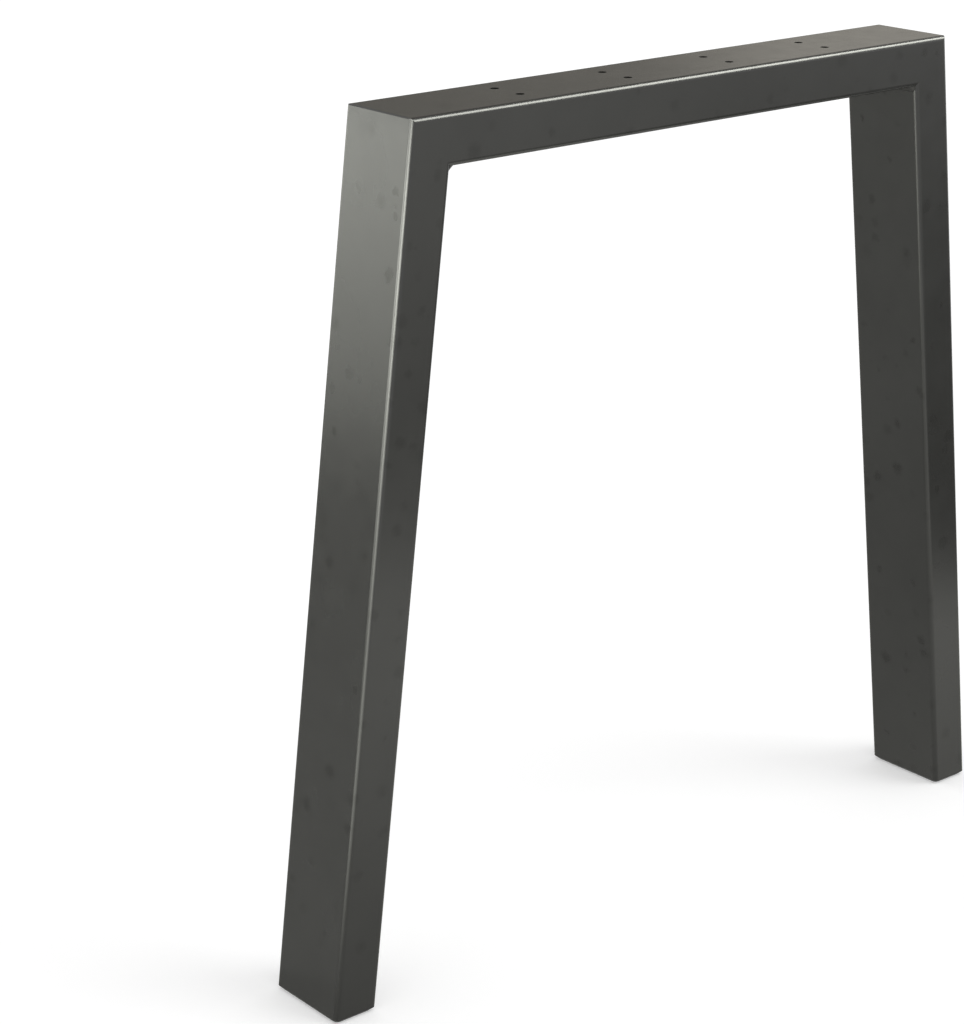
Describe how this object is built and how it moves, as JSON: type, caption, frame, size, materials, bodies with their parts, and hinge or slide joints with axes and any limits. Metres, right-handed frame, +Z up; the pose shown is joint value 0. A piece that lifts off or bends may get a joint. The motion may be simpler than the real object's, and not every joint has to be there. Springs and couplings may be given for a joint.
{
  "type": "u-shaped table leg",
  "caption": "Welded steel-tube table leg: a level crossbar, drilled for screws into the table top, is mitred into splayed legs that stand on moulded foot caps.",
  "frame": {"origin": "on the floor, midway between the feet and midway across the tube's depth", "axes": "+X along the crossbar, +Y across the tube's depth, +Z up from the floor to the table top"},
  "size_m": [0.7442, 0.08, 0.71],
  "materials": {
    "satin_steel": "satin clear lacquer over dark raw steel",
    "weld_bead": "satin lacquer over a rippled bead",
    "foot_cap_plastic": "fine matte moulded polyethylene"
  },
  "bodies": {
    "root": {"crossbar": "satin_steel", "left_leg": "satin_steel", "right_leg": "satin_steel", "left_corner_weld": "weld_bead", "right_corner_weld": "weld_bead", "left_foot_cap": "foot_cap_plastic", "right_foot_cap": "foot_cap_plastic"}
  },
  "joints": []
}
